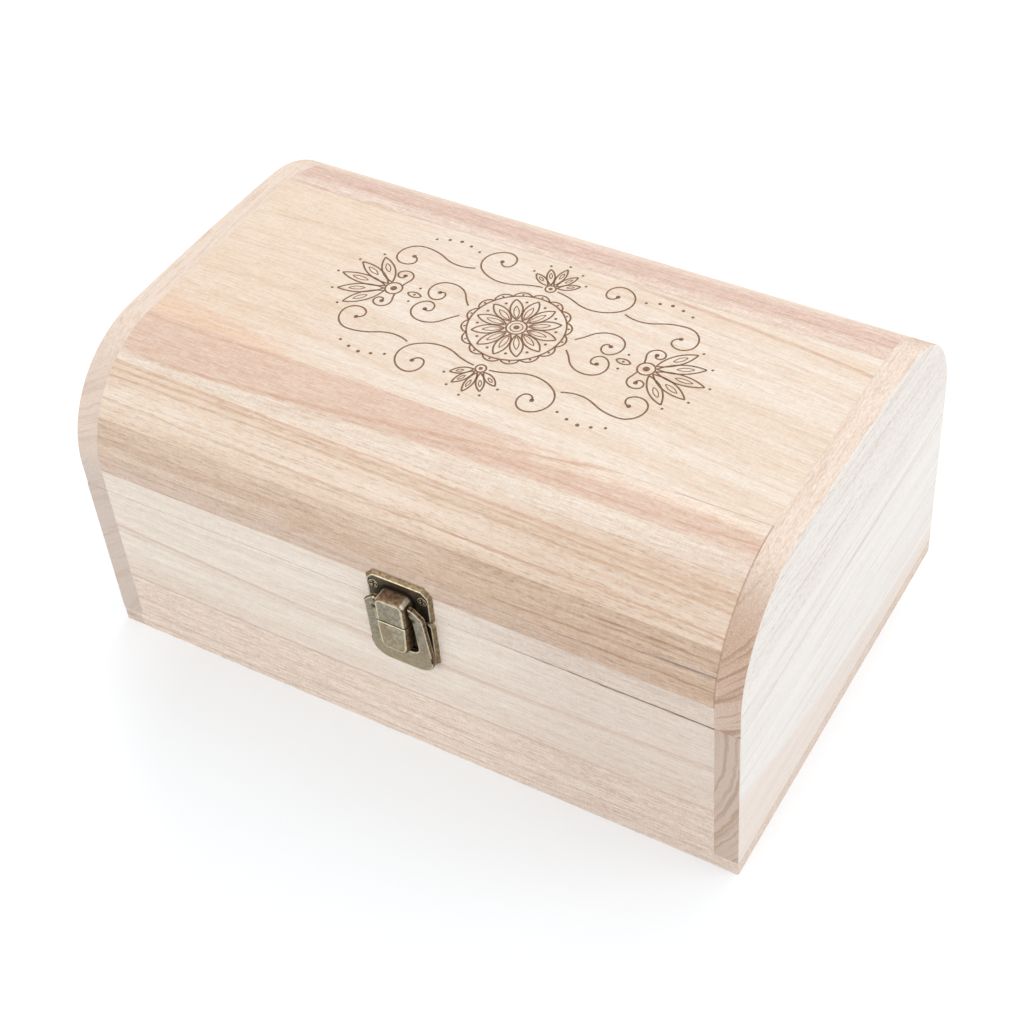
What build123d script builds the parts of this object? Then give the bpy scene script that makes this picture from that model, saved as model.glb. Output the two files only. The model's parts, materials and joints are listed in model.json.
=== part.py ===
from build123d import *

import os
from math import asin, atan, cos, degrees, radians, sin

# A wooden keepsake box with an arched, slatted lid, two stop hinges behind
# and a bail latch in front. Millimetres. The origin is the middle of the
# underside, +X runs along the length and the latch is on the -Y face.

# Carcass
box_length = 300.0
box_depth = 196.0
base_height = 82.85  # underside to the top edge of the base
end_thickness = 10.5  # end boards, seen as strips of end grain
wall_thickness = 9.5  # front and back boards, and the slats at their joints
bottom_thickness = 7.0
seam_gap = 0.3  # saw cut that parts the lid from the base

# Lid
rail_height = 11.25  # straight board above the seam, front and back
corner_radius = 49.3
crown_radius = 1500.0  # the wide top board is very slightly crowned
slat_names = ("low", "middle", "high")  # the staves of each rounded corner, all as wide

# Sanded edges
edge_ease = 0.7  # outer edges of the end boards
foot_ease = 0.4  # lower edges of the bottom board
foot_round = 2.0  # its upright corners

# Screws, the same kind in the latch and the hinges
screw_head_radius = 2.3
screw_shank_radius = 1.2
screw_length = 8.0
screw_head_seat = 0.1  # what the head leaves of the thinner plate
recess_width = 0.55
recess_reach = 1.45
recess_depth = 0.5
screw_clearance = 0.05

# Latch
latch_x = 6.0  # the latch stands a little to the right of the middle
latch_drop = 1.85  # from the top edge of the base down to the plate joint
latch_width = 30.0
latch_corner = 3.4
latch_bevel = 1.3
plate_thickness = 1.8
plate_gap = 0.3  # between the plate on the lid and the one on the base
plate_notch = 1.2  # cut off the corners where the two plates meet
lid_plate_height = 17.8
base_plate_height = 25.8
latch_screw_x = 11.0
lid_plate_screw_up = 11.5  # above the plate joint
base_plate_screw_down = 19.0  # below the plate joint

block_width = 13.6
block_height = 12.8
block_proud = 8.8  # from the wood to the face of the block
block_corner = 3.2
block_round = 1.3

nose_width = 14.2
nose_taper = 0.8
nose_height = 15.3
nose_corner = 3.9
nose_back = 3.1  # from the wood to the back of the nose
groove_ease = 0.35

cleat_width = 7.0
cleat_height = 0.9
cleat_length = 12.0
cleat_drop = 3.0  # below the plate joint

bail_thickness = 1.8
bail_top_width = 26.6
bail_bottom_width = 28.4
bail_opening = 16.8
bail_reach = 36.0  # from its pins to its bottom edge
bail_bar = 10.6
bail_crest = 2.0  # above its pins
bail_shoulder = 4.2
bail_corner = 7.4
bail_inner_corner = 3.6
bail_ease = 0.35
bail_lean = 4.6  # degrees that the bail's foot leans towards the wood
bail_side_gap = 0.3
pivot_up = 8.3  # above the plate joint
pivot_proud = 5.75
pintle_radius = 0.85
pintle_length = 2.6
pin_clearance = 0.05

# Hinges
hinge_inset = 60.0  # from the end of the box to the middle of a hinge
hinge_width = 30.0
leaf_height = 11.0
leaf_thickness = 1.0
leaf_corner = 2.0
knuckle_gap = 0.2
knuckle_radius = 1.75
knuckle_clear = 0.35  # between a knuckle and what turns past it
hinge_pin_radius = 1.0
leaf_screw_x = 9.5
leaf_screw_rise = 6.6  # from the hinge axis
lid_opening = 100.0  # degrees, where the stop tabs meet
tab_slack = 2.0  # degrees left between the tabs there
tab_reach = 5.0
tab_thickness = 1.0

# Places that follow from the sizes above
half_length = box_length / 2
half_depth = box_depth / 2
panel_length = box_length - 2 * end_thickness
lid_bottom = base_height + seam_gap
spring_line = lid_bottom + rail_height
corner_y = half_depth - corner_radius
crown_half_angle = asin(corner_y / (crown_radius - corner_radius))
crown_centre = spring_line - (crown_radius - corner_radius) * cos(crown_half_angle)
inner_radius = corner_radius - wall_thickness
hinge_x = half_length - hinge_inset
last_joint = 90.0 - degrees(crown_half_angle)
joint_angles = [last_joint * joint / len(slat_names) for joint in range(len(slat_names) + 1)]
plate_joint = base_height - latch_drop
pivot_z = plate_joint + pivot_up
hinge_y = half_depth + knuckle_radius + knuckle_clear
hinge_z = base_height + seam_gap / 2

front_face = Plane(origin=(0, -half_depth, 0), x_dir=(1, 0, 0), z_dir=(0, -1, 0))
back_face = Plane(origin=(0, half_depth, 0), x_dir=(-1, 0, 0), z_dir=(0, 1, 0))
latch_face = Plane(origin=(latch_x, -half_depth, 0), x_dir=(1, 0, 0), z_dir=(0, -1, 0))
hinge_face = Plane(origin=(hinge_x, half_depth, 0), x_dir=(-1, 0, 0), z_dir=(0, 1, 0))

lid_latch_screws = [(x, plate_joint + lid_plate_screw_up) for x in (-latch_screw_x, latch_screw_x)]
base_latch_screws = [(x, plate_joint - base_plate_screw_down) for x in (-latch_screw_x, latch_screw_x)]
lid_leaf_screws = [(x, hinge_z + leaf_screw_rise) for x in (-leaf_screw_x, leaf_screw_x)]
base_leaf_screws = [(x, hinge_z - leaf_screw_rise) for x in (-leaf_screw_x, leaf_screw_x)]
hinge_places = (-hinge_x, hinge_x)

pilot_radius = screw_shank_radius + screw_clearance
screw_head_height = min(leaf_thickness, plate_thickness) - screw_head_seat
countersink_angle = 2 * degrees(atan((screw_head_radius - screw_shank_radius) / screw_head_height))
latch_pilot = screw_length - plate_thickness + screw_clearance
hinge_pilot = screw_length - leaf_thickness + screw_clearance

os.makedirs("parts", exist_ok=True)


def save(piece, name):
    """Labels a finished piece and writes its STEP file."""
    piece.part.label = name
    export_step(piece.part, f"parts/{name}.step")


def corner_point(angle, radius):
    """A point of the front rounded corner, in the YZ plane, by its angle from the foot."""
    return (-corner_y - radius * cos(radians(angle)), spring_line + radius * sin(radians(angle)))


def on_face(face, spots):
    """The locations of points given along a face."""
    return [face.location * Location((x, z, 0)) for x, z in spots]


def countersink():
    """Countersinks the piece that is being built, at the locations in use."""
    CounterSinkHole(
        radius=pilot_radius,
        counter_sink_radius=screw_head_radius + screw_clearance,
        counter_sink_angle=countersink_angle,
    )


# ---------------------------------------------------------------- base boards

with BuildPart() as bottom_board:
    with BuildSketch(Plane.XY):
        Rectangle(box_length, box_depth)
    extrude(amount=bottom_thickness)
    fillet(bottom_board.edges().filter_by(Axis.Z), foot_round)
    chamfer(bottom_board.faces().sort_by(Axis.Z)[0].edges(), foot_ease)
save(bottom_board, "bottom_board")

with BuildPart() as base_front:
    with BuildSketch(front_face):
        with Locations((0, (bottom_thickness + base_height) / 2)):
            Rectangle(panel_length, base_height - bottom_thickness)
    extrude(amount=-wall_thickness)
    with BuildSketch(latch_face):
        with Locations(*base_latch_screws):
            Circle(pilot_radius)
    extrude(amount=-latch_pilot, mode=Mode.SUBTRACT)
save(base_front, "base_front")

with BuildPart() as base_back:
    with BuildSketch(back_face):
        with Locations((0, (bottom_thickness + base_height) / 2)):
            Rectangle(panel_length, base_height - bottom_thickness)
    extrude(amount=-wall_thickness)
    with BuildSketch(back_face):
        for place in hinge_places:
            with Locations(*[(place + x, z) for x, z in base_leaf_screws]):
                Circle(pilot_radius)
    extrude(amount=-hinge_pilot, mode=Mode.SUBTRACT)
save(base_back, "base_back")

with BuildPart() as base_end:
    with BuildSketch(Plane.YZ.offset(half_length - end_thickness)):
        with Locations((0, (bottom_thickness + base_height) / 2)):
            Rectangle(box_depth, base_height - bottom_thickness)
    extrude(amount=end_thickness)
    chamfer(base_end.faces().sort_by(Axis.X)[-1].edges().filter_by(Axis.Z), edge_ease)
save(base_end, "base_end_right")

with BuildPart() as base_end_left:
    add(mirror(base_end.part, about=Plane.YZ))
save(base_end_left, "base_end_left")

# ----------------------------------------------------------------- lid boards

with BuildPart() as lid_end:
    with BuildSketch(Plane.YZ.offset(half_length - end_thickness)):
        with BuildLine():
            Line((-half_depth, lid_bottom), (-half_depth, spring_line))
            CenterArc((-corner_y, spring_line), corner_radius, 180, -last_joint)
            CenterArc(
                (0, crown_centre),
                crown_radius,
                180 - last_joint,
                2 * last_joint - 180,
            )
            CenterArc((corner_y, spring_line), corner_radius, last_joint, -last_joint)
            Line((half_depth, spring_line), (half_depth, lid_bottom))
            Line((half_depth, lid_bottom), (-half_depth, lid_bottom))
        make_face()
    extrude(amount=end_thickness)
    outer_edges = lid_end.faces().sort_by(Axis.X)[-1].edges()
    chamfer(outer_edges.sort_by(Axis.Z)[1:], edge_ease)
save(lid_end, "lid_end_right")

with BuildPart() as lid_end_left:
    add(mirror(lid_end.part, about=Plane.YZ))
save(lid_end_left, "lid_end_left")

with BuildPart() as lid_rail_front:
    with BuildSketch(front_face):
        with Locations((0, (lid_bottom + spring_line) / 2)):
            Rectangle(panel_length, rail_height)
    extrude(amount=-wall_thickness)
    with BuildSketch(latch_face):
        with Locations(*lid_latch_screws):
            Circle(pilot_radius)
    extrude(amount=-latch_pilot, mode=Mode.SUBTRACT)
save(lid_rail_front, "lid_rail_front")

with BuildPart() as lid_rail_back:
    with BuildSketch(back_face):
        with Locations((0, (lid_bottom + spring_line) / 2)):
            Rectangle(panel_length, rail_height)
    extrude(amount=-wall_thickness)
    with BuildSketch(back_face):
        for place in hinge_places:
            with Locations(*[(place + x, z) for x, z in lid_leaf_screws]):
                Circle(pilot_radius)
    extrude(amount=-hinge_pilot, mode=Mode.SUBTRACT)
save(lid_rail_back, "lid_rail_back")

# Each slat is round outside and flat inside, and its joints point at the
# middle of the corner, like the staves of a barrel.
for slat_name, start, stop in zip(slat_names, joint_angles, joint_angles[1:]):
    with BuildPart() as lid_slat:
        with BuildSketch(Plane.YZ.offset(-panel_length / 2)):
            with BuildLine():
                CenterArc((-corner_y, spring_line), corner_radius, 180 - start, start - stop)
                Line(corner_point(stop, corner_radius), corner_point(stop, inner_radius))
                Line(corner_point(stop, inner_radius), corner_point(start, inner_radius))
                Line(corner_point(start, inner_radius), corner_point(start, corner_radius))
            make_face()
        extrude(amount=panel_length)
    save(lid_slat, f"lid_slat_front_{slat_name}")

    with BuildPart() as lid_slat_back:
        add(mirror(lid_slat.part, about=Plane.XZ))
    save(lid_slat_back, f"lid_slat_back_{slat_name}")

with BuildPart() as lid_top_board:
    inner_y, inner_z = corner_point(last_joint, inner_radius)
    outer_y, outer_z = corner_point(last_joint, corner_radius)
    with BuildSketch(Plane.YZ.offset(-panel_length / 2)):
        with BuildLine():
            CenterArc((0, crown_centre), crown_radius, 180 - last_joint, 2 * last_joint - 180)
            Line((-outer_y, outer_z), (-inner_y, inner_z))
            Line((-inner_y, inner_z), (inner_y, inner_z))
            Line((inner_y, inner_z), (outer_y, outer_z))
        make_face()
    extrude(amount=panel_length)
save(lid_top_board, "lid_top_board")

# --------------------------------------------------------------------- screws

with BuildPart() as screw:
    with BuildSketch(Plane.XZ):
        with BuildLine():
            Polyline(
                (0, 0),
                (screw_head_radius, 0),
                (screw_shank_radius, -screw_head_height),
                (screw_shank_radius, -screw_length),
                (0, -screw_length),
                close=True,
            )
        make_face()
    revolve(axis=Axis.Z)
    with BuildSketch(Plane.XY):
        Rectangle(2 * recess_reach, recess_width)
        Rectangle(recess_width, 2 * recess_reach)
    extrude(amount=-recess_depth, mode=Mode.SUBTRACT)


def save_screws(name, face, spots):
    """Places the screws of one plate, each a solid of its own."""
    with BuildPart() as group:
        with Locations(*on_face(face, spots)):
            add(screw.part)
    save(group, name)


save_screws("latch_screws_lid", latch_face.offset(plate_thickness), lid_latch_screws)
save_screws("latch_screws_base", latch_face.offset(plate_thickness), base_latch_screws)
save_screws(
    "hinge_screws_lid",
    back_face.offset(leaf_thickness),
    [(place + x, z) for place in hinge_places for x, z in lid_leaf_screws],
)
save_screws(
    "hinge_screws_base",
    back_face.offset(leaf_thickness),
    [(place + x, z) for place in hinge_places for x, z in base_leaf_screws],
)

# ---------------------------------------------------------------------- latch

front_plate = latch_face.offset(plate_thickness)

# The lid's plate and the block that holds the bail are one casting.
with BuildPart() as latch_catch:
    with BuildSketch(latch_face) as outline:
        with Locations((0, plate_joint + lid_plate_height / 2)):
            Rectangle(latch_width, lid_plate_height)
        chamfer(outline.vertices().group_by(Axis.Y)[-1], latch_corner)
        chamfer(outline.vertices().group_by(Axis.Y)[0], plate_notch)
    extrude(amount=plate_thickness)
    rim = latch_catch.faces().sort_by(Axis.Y)[0].edges()
    split_edge = rim.sort_by(Axis.Z)[0]
    chamfer([edge for edge in rim if edge is not split_edge], latch_bevel)
    chamfer(latch_catch.faces().sort_by(Axis.Y)[0].edges().sort_by(Axis.Z)[0], groove_ease)
    with Locations(*on_face(front_plate, lid_latch_screws)):
        countersink()
    with BuildSketch(front_plate) as outline:
        with Locations((0, plate_joint + block_height / 2)):
            Rectangle(block_width, block_height)
        fillet(outline.vertices().group_by(Axis.Y)[-1], block_corner)
    extrude(amount=block_proud - plate_thickness)
    rim = latch_catch.faces().sort_by(Axis.Y)[0].edges()
    split_edge = rim.sort_by(Axis.Z)[0]
    fillet([edge for edge in rim if edge is not split_edge], block_round)
    with BuildSketch(Plane.YZ.offset(latch_x - block_width / 2)):
        with Locations((-half_depth - pivot_proud, pivot_z)):
            Circle(pintle_radius + pin_clearance)
    extrude(amount=block_width, mode=Mode.SUBTRACT)
save(latch_catch, "latch_catch")

# The nose carries the block on down, over the plate on the base.
with BuildPart() as latch_nose:
    with BuildSketch(latch_face.offset(nose_back)) as outline:
        with BuildLine():
            Polyline(
                (-nose_width / 2, plate_joint),
                (-nose_width / 2 + nose_taper, plate_joint - nose_height),
                (nose_width / 2 - nose_taper, plate_joint - nose_height),
                (nose_width / 2, plate_joint),
                close=True,
            )
        make_face()
        fillet(outline.vertices().group_by(Axis.Y)[0], nose_corner)
    extrude(amount=block_proud - nose_back)
    rim = latch_nose.faces().sort_by(Axis.Y)[0].edges()
    split_edge = rim.sort_by(Axis.Z)[-1]
    fillet([edge for edge in rim if edge is not split_edge], block_round)
    chamfer(latch_nose.faces().sort_by(Axis.Y)[0].edges().sort_by(Axis.Z)[-1], groove_ease)
save(latch_nose, "latch_nose")

# The base's plate has a low cleat under the nose.
with BuildPart() as latch_keeper:
    with BuildSketch(latch_face) as outline:
        with Locations((0, plate_joint - plate_gap - base_plate_height / 2)):
            Rectangle(latch_width, base_plate_height)
        chamfer(outline.vertices().group_by(Axis.Y)[0], latch_corner)
        chamfer(outline.vertices().group_by(Axis.Y)[-1], plate_notch)
    extrude(amount=plate_thickness)
    rim = latch_keeper.faces().sort_by(Axis.Y)[0].edges()
    split_edge = rim.sort_by(Axis.Z)[-1]
    chamfer([edge for edge in rim if edge is not split_edge], latch_bevel)
    chamfer(latch_keeper.faces().sort_by(Axis.Y)[0].edges().sort_by(Axis.Z)[-1], groove_ease)
    with Locations(*on_face(front_plate, base_latch_screws)):
        countersink()
    with BuildSketch(front_plate) as outline:
        with Locations((0, plate_joint - cleat_drop - cleat_length / 2)):
            Rectangle(cleat_width, cleat_length)
    extrude(amount=cleat_height)
save(latch_keeper, "latch_keeper")

# The bail is a flat stirrup. Its foot leans towards the wood, and its two
# inturned pintles turn in the block.
bail_plane = Plane(
    origin=(latch_x, -half_depth - pivot_proud, pivot_z),
    x_dir=(1, 0, 0),
    z_dir=(0, -cos(radians(bail_lean)), -sin(radians(bail_lean))),
)
bail_outward = Axis(bail_plane.origin, bail_plane.z_dir)
bail_mouth = block_width / 2 + bail_side_gap
with BuildPart() as latch_bail:
    with BuildSketch(bail_plane) as outline:
        with BuildLine():
            Polyline(
                (-bail_bottom_width / 2, -bail_reach),
                (bail_bottom_width / 2, -bail_reach),
                (bail_bottom_width / 2, -bail_reach + bail_bar),
                (bail_top_width / 2, bail_crest - bail_shoulder),
                (bail_top_width / 2 - bail_shoulder, bail_crest),
                (-bail_top_width / 2 + bail_shoulder, bail_crest),
                (-bail_top_width / 2, bail_crest - bail_shoulder),
                (-bail_bottom_width / 2, -bail_reach + bail_bar),
                close=True,
            )
        make_face()
        fillet(outline.vertices().group_by(Axis.Y)[0], bail_corner)
    extrude(amount=bail_thickness / 2, both=True)
    with BuildSketch(bail_plane) as opening:
        with BuildLine():
            Polyline(
                (-bail_opening / 2, -bail_reach + bail_bar),
                (bail_opening / 2, -bail_reach + bail_bar),
                (bail_opening / 2, -bail_shoulder),
                (bail_mouth, -bail_crest),
                (bail_mouth, bail_crest),
                (-bail_mouth, bail_crest),
                (-bail_mouth, -bail_crest),
                (-bail_opening / 2, -bail_shoulder),
                close=True,
            )
        make_face()
        fillet(opening.vertices().group_by(Axis.Y)[0], bail_inner_corner)
    extrude(amount=bail_thickness, both=True, mode=Mode.SUBTRACT)
    chamfer(latch_bail.faces().sort_by(bail_outward)[-1].edges(), bail_ease)
    for side in (-1, 1):
        with BuildSketch(Plane.YZ.offset(latch_x + side * (bail_mouth + bail_side_gap))):
            with Locations((-half_depth - pivot_proud, pivot_z)):
                Circle(pintle_radius)
        extrude(amount=-side * (pintle_length + bail_side_gap))
save(latch_bail, "latch_bail")

# --------------------------------------------------------------------- hinges

# Three knuckles turn on one pin: the base has the outer two. Beyond the
# barrel each leaf ends in a tab, and the two tabs meet when the lid stands open.
knuckle_length = (hinge_width - 2 * knuckle_gap) / 3
middle_zone = (-knuckle_length / 2, knuckle_length / 2)
outer_zones = (
    (-hinge_width / 2, -knuckle_length / 2 - knuckle_gap),
    (knuckle_length / 2 + knuckle_gap, hinge_width / 2),
)
barrel_clear = knuckle_radius + knuckle_clear
barrel_end = Plane(origin=(hinge_x, hinge_y, hinge_z), x_dir=(0, 1, 0), z_dir=(1, 0, 0))


def tab_corners(angle, side, start):
    """The corners of a stop tab about the hinge axis, its face on a radius."""
    along = (cos(radians(angle)), sin(radians(angle)))
    across = (-side * along[1] * tab_thickness, side * along[0] * tab_thickness)
    return [
        (start * along[0], start * along[1]),
        (tab_reach * along[0], tab_reach * along[1]),
        (tab_reach * along[0] + across[0], tab_reach * along[1] + across[1]),
        (start * along[0] + across[0], start * along[1] + across[1]),
    ]


def hinge_leaf(own_zones, side, screws):
    """One leaf of the right hinge: side is 1 on the lid and -1 on the base."""
    tab_angle = side * (lid_opening + tab_slack) / 2
    near_edge = hinge_z + side * barrel_clear
    far_edge = hinge_z + side * leaf_height
    with BuildPart() as leaf:
        with BuildSketch(hinge_face) as outline:
            with Locations((0, (near_edge + far_edge) / 2)):
                Rectangle(hinge_width, abs(far_edge - near_edge))
            fillet(outline.vertices().group_by(Axis.Y)[-1 if side == 1 else 0], leaf_corner)
        extrude(amount=leaf_thickness)
        with Locations(*on_face(hinge_face.offset(leaf_thickness), screws)):
            countersink()
        for start, stop in own_zones:
            with BuildSketch(hinge_face):
                with Locations(((start + stop) / 2, hinge_z + side * barrel_clear / 2)):
                    Rectangle(stop - start, barrel_clear)
            extrude(amount=leaf_thickness)
            with BuildSketch(barrel_end.offset(start)):
                Circle(knuckle_radius)
            extrude(amount=stop - start)
            with BuildSketch(barrel_end.offset(start)):
                with BuildLine():
                    Polyline(*tab_corners(tab_angle, side, hinge_pin_radius), close=True)
                make_face()
            extrude(amount=stop - start)
        with BuildSketch(barrel_end.offset(-hinge_width / 2)):
            with BuildLine():
                Polyline(*tab_corners(tab_angle, side, barrel_clear), close=True)
            make_face()
        extrude(amount=hinge_width)
        with BuildSketch(barrel_end.offset(-hinge_width / 2)):
            Circle(hinge_pin_radius + pin_clearance)
        extrude(amount=hinge_width, mode=Mode.SUBTRACT)
    return leaf


def save_pair(piece, name):
    """Saves a piece of the right hinge, and its mirror image for the left one."""
    save(piece, f"{name}_right")
    with BuildPart() as other:
        add(mirror(piece.part, about=Plane.YZ))
    save(other, f"{name}_left")


save_pair(hinge_leaf([middle_zone], 1, lid_leaf_screws), "hinge_leaf_lid")
save_pair(hinge_leaf(outer_zones, -1, base_leaf_screws), "hinge_leaf_base")

with BuildPart() as hinge_pin:
    with BuildSketch(barrel_end.offset(-hinge_width / 2)):
        Circle(hinge_pin_radius)
    extrude(amount=hinge_width)
save_pair(hinge_pin, "hinge_pin")
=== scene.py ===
import json
import math

import bmesh
import bpy
from mathutils import Matrix, Vector
from mathutils.bvhtree import BVHTree
from mathutils.kdtree import KDTree

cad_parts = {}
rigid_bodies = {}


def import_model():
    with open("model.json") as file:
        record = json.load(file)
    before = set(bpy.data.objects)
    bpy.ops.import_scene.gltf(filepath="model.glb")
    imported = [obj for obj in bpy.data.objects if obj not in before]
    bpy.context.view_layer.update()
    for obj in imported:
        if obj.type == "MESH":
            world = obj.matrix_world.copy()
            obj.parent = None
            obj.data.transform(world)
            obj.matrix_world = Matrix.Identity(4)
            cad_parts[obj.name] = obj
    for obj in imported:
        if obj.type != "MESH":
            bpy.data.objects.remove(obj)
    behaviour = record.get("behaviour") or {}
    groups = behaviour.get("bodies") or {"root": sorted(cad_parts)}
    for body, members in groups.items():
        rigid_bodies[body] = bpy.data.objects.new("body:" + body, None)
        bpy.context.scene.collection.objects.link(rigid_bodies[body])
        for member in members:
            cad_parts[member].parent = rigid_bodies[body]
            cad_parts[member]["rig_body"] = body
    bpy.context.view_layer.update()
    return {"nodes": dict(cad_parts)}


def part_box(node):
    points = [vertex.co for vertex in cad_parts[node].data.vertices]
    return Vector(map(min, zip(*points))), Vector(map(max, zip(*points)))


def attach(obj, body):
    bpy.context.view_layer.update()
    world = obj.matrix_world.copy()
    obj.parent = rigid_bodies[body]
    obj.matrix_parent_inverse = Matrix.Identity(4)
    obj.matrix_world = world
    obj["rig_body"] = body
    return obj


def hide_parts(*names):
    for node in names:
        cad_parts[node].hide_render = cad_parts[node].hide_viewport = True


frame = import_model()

mm = 0.001

# the lid's outline in millimetres, seen from its end
lidShape = {"corner": 49.3, "crown": 1500.0, "wall": 9.5, "spring": 94.4}
halfLength = 150
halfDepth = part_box("lid_rail_back")[1].y / mm
cornerY = halfDepth - lidShape["corner"]
crownTurn = math.asin(cornerY / (lidShape["crown"] - lidShape["corner"]))
crownZ = lidShape["spring"] - (lidShape["crown"] - lidShape["corner"]) * math.cos(crownTurn)
staves = 3
staveTurn = (math.pi / 2 - crownTurn) / staves
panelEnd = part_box("lid_top_board")[1].x / mm
topJoint = lidShape["spring"] + lidShape["corner"] * staves * staveTurn


class Value:
    # a socket that can be used in sums
    def __init__(self, shader, socket):
        self.shader = shader
        self.socket = socket

    def __add__(self, other):
        return self.shader.maths("ADD", self, other)

    def __sub__(self, other):
        return self.shader.maths("SUBTRACT", self, other)

    def __rsub__(self, other):
        return self.shader.maths("SUBTRACT", other, self)

    def __mul__(self, other):
        return self.shader.maths("MULTIPLY", self, other)

    def __truediv__(self, other):
        return self.shader.maths("DIVIDE", self, other)

    def __abs__(self):
        return self.shader.maths("ABSOLUTE", self)

    __radd__ = __add__
    __rmul__ = __mul__


class Shader:
    # builds the nodes of a material or of the world
    def __init__(self, owner):
        owner.use_nodes = True
        self.owner = owner
        self.tree = owner.node_tree
        self.tree.nodes.clear()

    def node(self, kind, settings=None, inputs=None, out=0):
        made = self.tree.nodes.new(kind)
        for key, value in (settings or {}).items():
            setattr(made, key, value)
        for key, value in (inputs or {}).items():
            if isinstance(value, Value):
                self.tree.links.new(value.socket, made.inputs[key])
            else:
                made.inputs[key].default_value = value
        return Value(self, made.outputs[out]) if made.outputs else made

    def maths(self, operation, *values):
        return self.node("ShaderNodeMath", {"operation": operation}, dict(enumerate(values)))

    def blend(self, factor, first, second, way="MIX"):
        # two colours mixed by a factor
        settings = {"data_type": "RGBA", "blend_type": way}
        return self.node("ShaderNodeMix", settings, {0: factor, 6: first, 7: second}, 2)

    def warmShade(self, tint, colour, warmth, reach=0.25):
        # a colour made darker and redder, or lighter and paler, by a tint of up to the reach
        share = (1 - warmth, 1.0, 1 + warmth)
        dark = (*(1 - reach * part for part in share), 1)
        light = (*(1 + reach * part for part in share), 1)
        gain = self.blend(tint * (0.5 / reach) + 0.5, dark, light)
        return self.blend(1.0, colour, gain, "MULTIPLY")

    def step(self, value, low, high, first=0.0, last=1.0):
        # a soft step between two values
        inputs = {"Value": value, "From Min": low, "From Max": high, "To Min": first, "To Max": last}
        return self.node("ShaderNodeMapRange", {"interpolation_type": "SMOOTHSTEP"}, inputs)

    def noise(self, x, y, z, detail=2.0, roughness=0.5):
        place = self.node("ShaderNodeCombineXYZ", None, {0: x, 1: y, 2: z})
        inputs = {"Vector": place, "Scale": 1.0, "Detail": detail, "Roughness": roughness}
        return self.node("ShaderNodeTexNoise", None, inputs)

    def grain(self, size, along, across, depth, seed):
        # noise drawn out along the grain, sized by a length and a width in millimetres
        length, width, detail, roughness = size
        return self.noise(along / length + seed, across / width, depth / width, detail, roughness)

    def length(self, x, y):
        return self.maths("SQRT", x * x + y * y)

    def position(self):
        # the place on the object in millimetres
        place = self.node("ShaderNodeTexCoord", None, None, "Object")
        scaled = self.node("ShaderNodeVectorMath", {"operation": "SCALE"}, {0: place, "Scale": 1 / mm})
        return [self.node("ShaderNodeSeparateXYZ", None, {0: scaled}, axis) for axis in range(3)]

    def facing(self):
        # how much the surface faces along each axis
        normal = self.node("ShaderNodeTexCoord", None, None, "Normal")
        return [abs(self.node("ShaderNodeSeparateXYZ", None, {0: normal}, axis)) for axis in range(3)]

    def finish(self, colour, roughness, height, bump, metallic=0.0, specular=0.5):
        # the material, with a bump given in millimetres
        normal = self.node("ShaderNodeBump", None, {"Strength": 1.0, "Distance": bump * mm, "Height": height})
        inputs = {
            "Base Color": colour,
            "Roughness": roughness,
            "Metallic": metallic,
            "Specular IOR Level": specular,
            "Normal": normal,
        }
        surface = self.node("ShaderNodeBsdfPrincipled", None, inputs)
        self.node("ShaderNodeOutputMaterial", None, {"Surface": surface})
        return self.owner


def parabola(first, middle, last):
    # the curve a + b t + c t² through three points
    (t0, v0), (t1, v1), (t2, v2) = first, middle, last
    c = ((v2 - v0) / (t2 - t0) - (v1 - v0) / (t1 - t0)) / (t2 - t1)
    b = (v1 - v0) / (t1 - t0) - c * (t0 + t1)
    return v0 - b * t0 - c * t0 * t0, b, c


def aboveCurve(along, across, curve):
    # how far a point lies above a curve through three points, or above one level
    a, b, c = parabola(*curve) if isinstance(curve, tuple) else (curve, 0.0, 0.0)
    return across - (along * along * c + along * b + a)


def boardCoordinates(shader, lies):
    # along the grain, across it up the front and over the lid, and into the board, in millimetres
    x, y, z = shader.position()
    if lies == "upright":
        return x, z, y
    if lies == "top":
        return x, y + (topJoint + lidShape["crown"] * crownTurn), z
    out = abs(y) - cornerY
    up = z - lidShape["spring"]
    angle = shader.maths("ARCTAN2", up, out)
    return x, angle * lidShape["corner"] + lidShape["spring"], shader.length(out, up)


# the wood's noises: length, width, detail and roughness
woodNoise = {
    "wave": (120, 30, 1.0, 0.5),
    "broad": (260, 9, 2.0, 0.5),
    "cloud": (55, 26, 2.0, 0.5),
    "streaks": (70, 1.5, 3.0, 0.6),
    "broken": (9, 0.75, 2.0, 0.55),
    "pores": (3.4, 0.42, 1.0, 0.5),
    "fibre": (11, 0.6, 2.0, 0.6),
    "hairs": (2.4, 0.45, 2.0, 0.6),
    "rays": (0.8, 3.5, 1.0, 0.5),
}
fuzzSize = 0.6
seedSteps = {"wood": 137.0, "end": 91.0}
# where each noise starts and stops to show, and what it gives at both ends
woodSteps = {
    "broad": (0.36, 0.64),
    "cloud": (0.4, 0.7, 0.0, 0.3),
    "lines": (0.46, 0.72, 0.0),
    "tint": (0.25, 0.75),
    "pores": (0.54, 0.7),
    "poresInStreaks": (0.36, 0.62, 0.3, 1.0),
    "dashes": (0.38, 0.62),
    "roughness": (0.3, 0.8, 0.64, 0.76),
}
woodTints = {"fibre": 0.10, "hairs": 0.07, "fuzz": 0.02, "rays": 0.034}
woodFinish = {"bump": 0.06, "metallic": 0.0, "specular": 0.25}


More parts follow.
